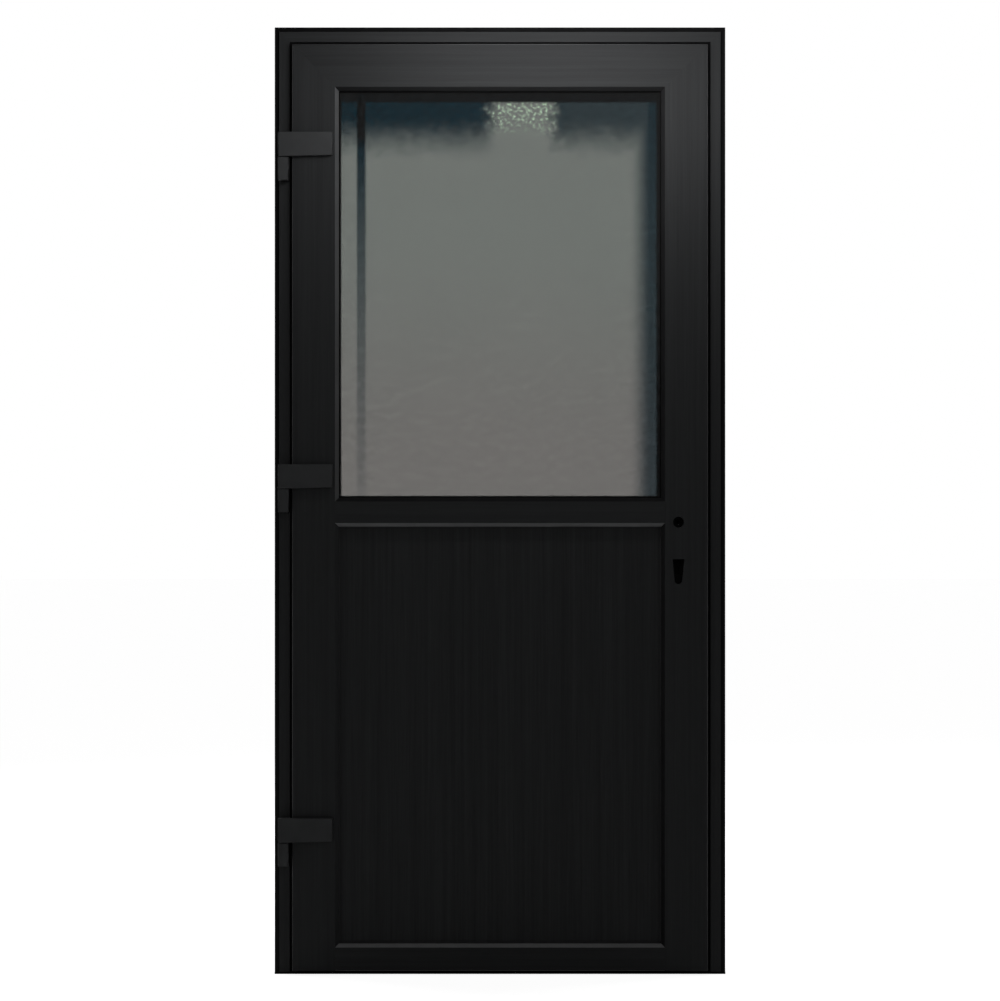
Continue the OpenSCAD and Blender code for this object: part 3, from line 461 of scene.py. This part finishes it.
def settle(piece):
    """Turns a piece's modifiers into its plain mesh."""
    graph = bpy.context.evaluated_depsgraph_get()
    old = piece.data
    piece.data = bpy.data.meshes.new_from_object(piece.evaluated_get(graph), depsgraph=graph)
    piece.modifiers.clear()
    piece.data.name = piece.name
    bpy.data.meshes.remove(old)


def merged_copy(node):
    """A CAD node's mesh with its corners merged and its flat faces joined."""
    work = bmesh.new()
    work.from_mesh(NODES[node].data)
    bmesh.ops.remove_doubles(work, verts=work.verts, dist=MERGE_DISTANCE)
    bmesh.ops.dissolve_limit(
        work, angle_limit=FLAT_ANGLE, verts=work.verts, edges=work.edges
    )
    return work


def cut_faces(work, along):
    """The faces that a profile's saw cuts leave near its ends."""
    axis = "XYZ".index(along)
    places = [v.co[axis] for v in work.verts]
    near = (min(places) + END_REACH, max(places) - END_REACH)
    return {
        f for f in work.faces
        if abs(f.normal[axis]) > CUT_FACE
        and not near[0] < f.calc_center_median()[axis] < near[1]
    }


def kept_apart(edge, kept, behind):
    """True where an edge touches no kept face and doesn't lie behind a plane."""
    if any(f in kept for f in edge.link_faces):
        return False
    return behind is None or max(v.co.y for v in edge.verts) < behind


def round_edges(work, width, shortest, kept, behind):
    """Rounds the sharp outer edges that are long enough and aren't kept as they are."""
    edges = [
        e for e in work.edges
        if e.is_manifold and e.is_convex and kept_apart(e, kept, behind)
        and e.calc_face_angle() > SHARP_ANGLE and e.calc_length() > shortest
    ]
    bmesh.ops.bevel(
        work, geom=edges, offset=width, offset_type="OFFSET", segments=ROUND_SEGMENTS,
        profile=0.5, affect="EDGES", clamp_overlap=False,
    )


# A profile's materials in the order of its slots: foil, bare core with painted shade, a painted
# highlight, a brighter painted highlight and painted shade; and which of them each bevel takes
IS_FOIL, IS_CORE_SHADE, IS_EDGE_HIGHLIGHT, IS_BEVEL_HIGHLIGHT, IS_BEVEL_SHADE = range(5)
PROFILE_CORE_AND_PAINTED_LIGHT = (CORE_AND_PAINTED_SHADE, EDGE_PAINTED_HIGHLIGHT, BEVEL_PAINTED_HIGHLIGHT, BEVEL_PAINTED_SHADE)
# Which painted highlight or painted shade each bevel of the glass and panel openings takes
BEVEL_LIGHT_AND_SHADE = {
    "glass": {"hinge_stile": IS_EDGE_HIGHLIGHT, "lock_stile": IS_BEVEL_SHADE, "top_rail": IS_BEVEL_SHADE,
              "mid_rail": IS_BEVEL_SHADE},
    "panel": {"hinge_stile": IS_FOIL, "lock_stile": IS_BEVEL_SHADE, "mid_rail": IS_BEVEL_HIGHLIGHT,
              "bottom_rail": IS_BEVEL_HIGHLIGHT},
}
BEVEL_SLOPE = (-0.85, -0.5)
BEVEL_REACH_X = 0.37
BEVEL_REACH_Z = 1.98
mid_rail_z = sum(corner.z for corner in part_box("mid_rail")) / 2


def profile_painted_tone(node, face, core_behind):
    """Foil, bare core with painted shade, or a painted highlight or painted shade on an edge or
    bevel.
    """
    centre = face.calc_center_median()
    if face.normal.y < 0.5 and centre.y > core_behind:
        return IS_CORE_SHADE
    if not BEVEL_SLOPE[0] < face.normal.y < BEVEL_SLOPE[1]:
        return IS_FOIL
    # Outer edge chamfers take the painted highlight
    if abs(centre.x) > BEVEL_REACH_X or centre.z > BEVEL_REACH_Z:
        return IS_EDGE_HIGHLIGHT
    opening = "glass" if centre.z > mid_rail_z else "panel"
    return BEVEL_LIGHT_AND_SHADE[opening].get(node, IS_EDGE_HIGHLIGHT)


def split_at_mid_rail(work):
    """Parts a stile's faces at the mid rail, so that glass and panel have their own bevels."""
    parts = [*work.verts, *work.edges, *work.faces]
    bmesh.ops.bisect_plane(
        work, geom=parts, plane_co=(0.0, 0.0, mid_rail_z), plane_no=(0.0, 0.0, 1.0)
    )


def rounded_piece(node, width, finish, along=None, core_behind=None, edges_behind=None,
                  shortest=SHORTEST_ROUNDED):
    """A node with small rounded edges, and a profile with its core and the painted highlights and
    painted shade of its bevels.
    """
    work = merged_copy(node)
    if node in ("hinge_stile", "lock_stile"):
        split_at_mid_rail(work)
    kept = cut_faces(work, along) if along else ()
    round_edges(work, width, shortest, kept, edges_behind)
    for face in work.faces:
        face.smooth = True
        if core_behind is not None:
            face.material_index = profile_painted_tone(node, face, core_behind)
    mesh = bpy.data.meshes.new(node + "_finished")
    work.to_mesh(mesh)
    work.free()
    mesh.materials.append(finish)
    if core_behind is not None:
        for extra in PROFILE_CORE_AND_PAINTED_LIGHT:
            mesh.materials.append(extra)
    piece = new_object(node + "_finished", mesh)
    stand_for(piece, node)
    normals = piece.modifiers.new("flat_faces", "WEIGHTED_NORMAL")
    normals.keep_sharp = True
    settle(piece)


for name in ("frame_hinge_jamb", "frame_lock_jamb"):
    rounded_piece(name, PROFILE_ROUND, FOIL_UPRIGHT, "Z", FRAME_FOIL_BACK)
rounded_piece("frame_head", PROFILE_ROUND, FOIL_LEVEL, "X", FRAME_FOIL_BACK)
for name in ("hinge_stile", "lock_stile"):
    rounded_piece(name, PROFILE_ROUND, FOIL_UPRIGHT, "Z", LEAF_FOIL_BACK)
for name in ("top_rail", "mid_rail", "bottom_rail"):
    rounded_piece(name, PROFILE_ROUND, FOIL_LEVEL, "X", LEAF_FOIL_BACK)
for opening in ("glass", "panel"):
    for side, along, finish in (("top", "X", FOIL_LEVEL), ("bottom", "X", FOIL_LEVEL),
                                ("hinge_side", "Z", FOIL_UPRIGHT),
                                ("lock_side", "Z", FOIL_UPRIGHT)):
        rounded_piece(f"{opening}_bead_{side}", PROFILE_ROUND, finish, along)
leaf_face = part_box("hinge_stile")[0].y
for place in ("top", "middle", "bottom"):
    for part in ("knuckle", "cover"):
        rounded_piece(f"hinge_{place}_{part}", HINGE_ROUND, HINGE_PAINT_AND_HIGHLIGHT,
                      edges_behind=leaf_face - HINGE_ROUND, shortest=HINGE_SHORTEST)
    rounded_piece(f"hinge_{place}_flag", METAL_ROUND, HINGE_PAINT_AND_HIGHLIGHT)
for name in ("strike_plate", "faceplate", "latch_bolt", "deadbolt"):
    rounded_piece(name, METAL_ROUND, PLAIN_STEEL)
rounded_piece("threshold", METAL_ROUND, DARK_ANODISED)


# Thin dark films in the lock's two holes: painted shade that makes the holes read dark
FILM_T = 0.0002
FILM_LAP = 0.004
FILM_ROUND = 0.0008
CASE_WALL = 0.0015
SQUARE_ROOM = 0.00029
OPENINGS = {o["name"]: o["box_m"] for o in frame["record"]["physics"]["openings"]}


def painted_shade_film(opening, node, lap, y):
    """A dark film of painted shade with rounded corners across an opening, lapping its box by a
    margin.
    """
    low, high = OPENINGS[opening]
    work = bmesh.new()
    bmesh.ops.create_cube(work, size=1.0)
    for vert in work.verts:
        vert.co.x = high[0] + lap if vert.co.x > 0 else low[0] - lap
        vert.co.y = y + FILM_T if vert.co.y > 0 else y
        vert.co.z = high[2] + lap if vert.co.z > 0 else low[2] - lap
    corners = [e for e in work.edges if abs(e.verts[0].co.y - e.verts[1].co.y) > FILM_T / 2]
    bmesh.ops.bevel(work, geom=corners, offset=FILM_ROUND * lap / FILM_LAP, segments=3,
                    profile=0.5, affect="EDGES")
    mesh = bpy.data.meshes.new(opening + "_film")
    work.to_mesh(mesh)
    work.free()
    mesh.materials.append(RUBBER)
    film = new_object(opening + "_film", mesh)
    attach(film, NODES[node]["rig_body"])


case_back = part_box("lock_case")[1].y - CASE_WALL
painted_shade_film("cylinder_slot", "lock_case", FILM_LAP, case_back - 2 * FILM_T)
follower_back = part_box("follower")[1].y
painted_shade_film("spindle_square", "follower", SQUARE_ROOM, follower_back - 2 * FILM_T)


# Geometry Nodes
class Tree:
    """A Geometry Nodes tree with named inputs."""

    def __init__(self, name, inputs):
        self.tree = bpy.data.node_groups.new(name, "GeometryNodeTree")
        self.tree.interface.new_socket("Geometry", in_out="INPUT", socket_type="NodeSocketGeometry")
        for label, kind in inputs.items():
            self.tree.interface.new_socket(label, in_out="INPUT", socket_type="NodeSocket" + kind)
        self.tree.interface.new_socket("Geometry", in_out="OUTPUT", socket_type="NodeSocketGeometry")
        self.given = self.tree.nodes.new("NodeGroupInput").outputs

    def add(self, kind, inputs=None, **settings):
        return add(self.tree, kind, inputs, **settings)

    def calc(self, operation, a, b):
        return math_node(self.tree, operation, a, b)

    def absolute(self, value):
        return self.add("ShaderNodeMath", {0: value}, operation="ABSOLUTE").outputs["Value"]

    def end(self, geometry, finish):
        """Realizes the instances, sets the material and closes the tree."""
        real = self.add("GeometryNodeRealizeInstances", {"Geometry": geometry})
        dressed = self.add("GeometryNodeSetMaterial", {
            "Geometry": real.outputs["Geometry"], "Material": finish,
        })
        out = self.tree.nodes.new("NodeGroupOutput")
        self.tree.links.new(dressed.outputs["Geometry"], out.inputs["Geometry"])

    def grow(self, name, values):
        """An object made by the tree with these input values, as a plain mesh at the origin."""
        piece = new_object(name, bpy.data.meshes.new(name))
        modifier = piece.modifiers.new(name, "NODES")
        modifier.node_group = self.tree
        for socket in self.tree.interface.items_tree:
            if socket.in_out == "INPUT" and socket.name in values:
                modifier[socket.identifier] = values[socket.name]
        settle(piece)
        return piece


def obscure_pane_tree():
    """A pane whose front face has rolled pebbles, with a flat rim under the gasket."""
    t = Tree("obscure_pane", {
        "Width": "Float", "Thickness": "Float", "Height": "Float", "Columns": "Int",
        "Rows": "Int", "Centre": "Vector", "Pebble": "Float", "Relief": "Float", "Rim": "Float",
    })
    given = t.given
    size = t.add("ShaderNodeCombineXYZ", {
        "X": given["Width"], "Y": given["Thickness"], "Z": given["Height"],
    })
    block = t.add("GeometryNodeMeshCube", {
        "Size": size.outputs["Vector"], "Vertices X": given["Columns"], "Vertices Y": 2,
        "Vertices Z": given["Rows"],
    })
    place = t.add("GeometryNodeInputPosition")
    split = t.add("ShaderNodeSeparateXYZ", {"Vector": place.outputs["Position"]})
    front = t.add("FunctionNodeCompare", {0: split.outputs["Y"], 1: 0.0}, operation="LESS_THAN")
    pebbles = t.add("ShaderNodeTexVoronoi", {
        "Vector": place.outputs["Position"], "Scale": t.calc("DIVIDE", 1.0, given["Pebble"]),
        "Smoothness": 0.6, "Randomness": 1.0,
    }, feature="SMOOTH_F1")
    inside = None
    for axis, extent in (("X", "Width"), ("Z", "Height")):
        half = t.calc("MULTIPLY", given[extent], 0.5)
        reach = t.calc("SUBTRACT", half, t.absolute(split.outputs[axis]))
        past = t.calc("SUBTRACT", reach, given["Rim"])
        ramp = t.add("ShaderNodeMath", {0: t.calc("DIVIDE", past, given["Rim"]), 1: 1.0},
                     operation="MULTIPLY", use_clamp=True).outputs["Value"]
        inside = ramp if inside is None else t.calc("MULTIPLY", inside, ramp)
    relief = t.calc("MULTIPLY", pebbles.outputs["Distance"], given["Relief"])
    depth = t.calc("MULTIPLY", relief, inside)
    shift = t.add("ShaderNodeCombineXYZ", {"Y": depth})
    shaped = t.add("GeometryNodeSetPosition", {
        "Geometry": block.outputs["Mesh"], "Selection": front.outputs["Result"],
        "Offset": shift.outputs["Vector"],
    })
    seated = t.add("GeometryNodeTransform", {
        "Geometry": shaped.outputs["Geometry"], "Translation": given["Centre"],
    })
    smooth = t.add("GeometryNodeSetShadeSmooth", {"Geometry": seated.outputs["Geometry"]})
    t.end(smooth.outputs["Geometry"], OBSCURE)
    return t


def cross_recess_tree():
    """Cross recesses of screws whose heads face along X, drawn as thin black crosses of painted
    shade.
    """
    t = Tree("cross_recess", {
        "Start": "Vector", "Step": "Vector", "Count": "Int", "Length": "Float",
        "Width": "Float", "Depth": "Float",
    })
    bars = t.add("GeometryNodeJoinGeometry")
    for sides in (("Length", "Width"), ("Width", "Length")):
        size = t.add("ShaderNodeCombineXYZ", {
            "X": t.given["Depth"], "Y": t.given[sides[0]], "Z": t.given[sides[1]],
        })
        bar = t.add("GeometryNodeMeshCube", {"Size": size.outputs["Vector"]})
        t.tree.links.new(bar.outputs["Mesh"], bars.inputs["Geometry"])
    places = t.add("GeometryNodeMeshLine", {
        "Count": t.given["Count"], "Start Location": t.given["Start"], "Offset": t.given["Step"],
    }, mode="OFFSET")
    crosses = t.add("GeometryNodeInstanceOnPoints", {
        "Points": places.outputs["Mesh"], "Instance": bars.outputs["Geometry"],
    })
    t.end(crosses.outputs["Instances"], BLACKENED_AND_HOLE_SHADE)
    return t


def perforation_tree():
    """Two rows of breathing holes round the inner faces of the glass unit's spacer, drawn as black
    dots of painted shade.
    """
    t = Tree("spacer_hole_shade", {
        "Width": "Float", "Height": "Float", "Centre": "Vector", "Row Gap": "Float",
        "Spacing": "Float", "Radius": "Float",
    })
    ring = t.add("GeometryNodeCurvePrimitiveQuadrilateral", {
        "Width": t.given["Width"], "Height": t.given["Height"],
    }, mode="RECTANGLE")
    upright = t.add("GeometryNodeTransform", {
        "Geometry": ring.outputs["Curve"], "Translation": t.given["Centre"],
        "Rotation": (math.pi / 2, 0.0, 0.0),
    })
    places = t.add("GeometryNodeCurveToPoints", {
        "Curve": upright.outputs["Geometry"], "Length": t.given["Spacing"],
    }, mode="LENGTH")
    hole = t.add("GeometryNodeMeshIcoSphere", {"Radius": t.given["Radius"], "Subdivisions": 1})
    rows = t.add("GeometryNodeJoinGeometry")
    for side in (-0.5, 0.5):
        shift = t.add("ShaderNodeCombineXYZ", {"Y": t.calc("MULTIPLY", t.given["Row Gap"], side)})
        row = t.add("GeometryNodeSetPosition", {
            "Geometry": places.outputs["Points"], "Offset": shift.outputs["Vector"],
        })
        t.tree.links.new(row.outputs["Geometry"], rows.inputs["Geometry"])
    holes = t.add("GeometryNodeInstanceOnPoints", {
        "Points": rows.outputs["Geometry"], "Instance": hole.outputs["Mesh"],
    })
    t.end(holes.outputs["Instances"], BLACKENED_AND_HOLE_SHADE)
    return t


def solid_boxes(node):
    """The corner points of each separate solid in a CAD node, lowest solid first."""
    work = bmesh.new()
    work.from_mesh(NODES[node].data)
    bmesh.ops.remove_doubles(work, verts=work.verts, dist=MERGE_DISTANCE)
    boxes, left = [], set(work.verts)
    while left:
        grown, front = set(), [left.pop()]
        while front:
            vert = front.pop()
            grown.add(vert)
            near = {e.other_vert(vert) for e in vert.link_edges} & left
            left -= near
            front.extend(near)
        corners = [[f(v.co[i] for v in grown) for i in range(3)] for f in (min, max)]
        boxes.append((Vector(corners[0]), Vector(corners[1])))
    work.free()
    return sorted(boxes, key=lambda box: box[0].z)


RECESS = {"Length": 0.0042, "Width": 0.0008, "Depth": 0.0001}
recess = cross_recess_tree()
for screws, facing in (("faceplate_screws", 1), ("strike_screws", 0)):
    heads = []
    for box in solid_boxes(screws):
        middle = (box[0] + box[1]) / 2
        heads.append(Vector((box[facing].x, middle.y, middle.z)))
    crosses = recess.grow(screws + "_recess_shade", {
        "Start": heads[0], "Step": heads[1] - heads[0], "Count": len(heads), **RECESS,
    })
    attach(crosses, NODES[screws]["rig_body"])



def inner_span(node, axis):
    """Length between a ring's inner faces along an axis."""
    places = sorted({round(v.co[axis], 5) for v in NODES[node].data.vertices})
    return places[-2] - places[1]


HOLES = {"Row Gap": 0.006, "Spacing": 0.006, "Radius": 0.0007}
HOLE_SUNK = 0.0006
low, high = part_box("glass_spacer")
holes = perforation_tree().grow("spacer_hole_shade", {
    "Width": inner_span("glass_spacer", 0) + 2 * HOLE_SUNK,
    "Height": inner_span("glass_spacer", 2) + 2 * HOLE_SUNK,
    "Centre": (low + high) / 2, **HOLES,
})
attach(holes, NODES["glass_spacer"]["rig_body"])

PANE_CELL = 0.0042
PEBBLES = {"Pebble": 0.016, "Relief": 0.0011, "Rim": 0.008}
low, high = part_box("front_pane")
pane_size = high - low
pane = obscure_pane_tree().grow("obscure_front_pane", {
    "Width": pane_size.x, "Thickness": pane_size.y, "Height": pane_size.z,
    "Columns": round(pane_size.x / PANE_CELL), "Rows": round(pane_size.z / PANE_CELL),
    "Centre": (low + high) / 2, **PEBBLES,
})
stand_for(pane, "front_pane")


# Stage, light and camera
def stage_plane(name, size, finish):
    mesh = bpy.data.meshes.new(name)
    work = bmesh.new()
    bmesh.ops.create_grid(work, x_segments=1, y_segments=1, size=size)
    work.to_mesh(mesh)
    work.free()
    mesh.materials.append(finish)
    plane = new_object(name, mesh)
    return plane


def seen_directly(tree):
    """1 for rays from the camera, from gloss and through glass."""
    path = add(tree, "ShaderNodeLightPath").outputs
    seen = math_node(tree, "MAXIMUM", path["Is Camera Ray"], path["Is Glossy Ray"])
    return math_node(tree, "MAXIMUM", seen, path["Is Transmission Ray"])


WHITE = (1.0, 1.0, 1.0, 1.0)
FLOOR_SIZE = 30.0
FLOOR_DROP = 0.0002
FLOOR_COLOUR = (0.85, 0.85, 0.85, 1.0)
FLOOR_ROUGHNESS = 0.9
FLOOR_SHADOW_SHARE = 0.9
FLOOR_GLOW = 9.2


def floor_finish():
    """Pale floor that reads as white and keeps a little of the door's shadow."""
    made, tree, shader = new_material("pale_floor")
    shader.inputs["Base Color"].default_value = FLOOR_COLOUR
    shader.inputs["Roughness"].default_value = FLOOR_ROUGHNESS
    glow = add(tree, "ShaderNodeEmission", {"Strength": FLOOR_GLOW})
    path = add(tree, "ShaderNodeLightPath").outputs
    seen = math_node(tree, "MAXIMUM", path["Is Camera Ray"], path["Is Transmission Ray"])
    share = math_node(tree, "MULTIPLY", seen, 1 - FLOOR_SHADOW_SHARE)
    mix = add(tree, "ShaderNodeMixShader", {
        0: share, 1: shader.outputs["BSDF"], 2: glow.outputs["Emission"],
    })
    tree.links.new(mix.outputs["Shader"], tree.nodes["Material Output"].inputs["Surface"])
    return made


WORLD_LIGHT = 0.075
FRONT_GREY = 0.04
BACK_GREY = 0.4
ROOM_TURN = (-0.15, 0.25)


def studio_world():
    """Soft grey light, with a white backdrop behind the door and a darker room before it."""
    world = bpy.data.worlds.new("studio")
    scene.world = world
    world.use_nodes = True
    tree = world.node_tree
    soft = tree.nodes["Background"]
    soft.inputs["Color"].default_value = WHITE
    soft.inputs["Strength"].default_value = WORLD_LIGHT
    coords = add(tree, "ShaderNodeTexCoord")
    split = add(tree, "ShaderNodeSeparateXYZ", {"Vector": coords.outputs["Generated"]})
    behind = band(tree, split.outputs["Y"], *ROOM_TURN)
    room = remap(tree, behind, FRONT_GREY, BACK_GREY, 0.0, 1.0)
    path = add(tree, "ShaderNodeLightPath").outputs
    through = math_node(tree, "MAXIMUM", path["Is Camera Ray"], path["Is Transmission Ray"])
    brightness = math_node(tree, "MAXIMUM", room, through)
    backdrop = add(tree, "ShaderNodeBackground", {
        "Color": WHITE, "Strength": brightness,
    })
    mix = add(tree, "ShaderNodeMixShader", {
        0: seen_directly(tree), 1: soft.outputs["Background"], 2: backdrop.outputs["Background"],
    })
    tree.links.new(mix.outputs["Shader"], tree.nodes["World Output"].inputs["Surface"])


def area_light(name, place, target, size, power, in_gloss):
    data = bpy.data.lights.new(name, "AREA")
    data.shape = "RECTANGLE"
    data.size, data.size_y = size
    data.energy = power
    lamp = new_object(name, data)
    lamp.location = place
    lamp.rotation_mode = "QUATERNION"
    lamp.rotation_quaternion = (Vector(target) - Vector(place)).to_track_quat("-Z", "Y")
    lamp.visible_camera = False
    lamp.visible_transmission = False
    lamp.visible_glossy = in_gloss


# Each lamp's name, place, target, size, power and whether gloss shows it
DOOR_MIDDLE = (0.0, 0.0, 1.0)
LAMPS = (
    ("near_top", (0.12, -0.5, 2.0), (0.12, 0.0, 2.0), (0.7, 0.25), 2.95, False),
    ("wide_front", (0.6, -4.5, 2.6), DOOR_MIDDLE, (3.0, 2.0), 6.0, True),
    ("back_fill", (-1.2, 3.5, 2.8), DOOR_MIDDLE, (2.5, 2.0), 40.0, False),
    ("hinge_side_fill", (-3.2, 1.6, 1.4), DOOR_MIDDLE, (1.2, 2.0), 32.0, False),
    ("lock_side_fill", (3.2, 1.6, 1.4), DOOR_MIDDLE, (1.2, 2.0), 32.0, False),
)

stage_plane("floor", FLOOR_SIZE, floor_finish()).location.z = -FLOOR_DROP
studio_world()
for lamp_row in LAMPS:
    area_light(*lamp_row)

camera_data = bpy.data.cameras.new("camera")
camera_data.sensor_width = SENSOR
front_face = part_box("frame_head")[0].y
camera_data.lens = SENSOR * (CAMERA_DISTANCE + front_face) / (IMAGE_H * METRES_PER_PIXEL)
camera = new_object("camera", camera_data)
camera.location = (0.0, -CAMERA_DISTANCE, CAMERA_HEIGHT)
camera.rotation_euler = (math.pi / 2, 0.0, 0.0)
scene.camera = camera
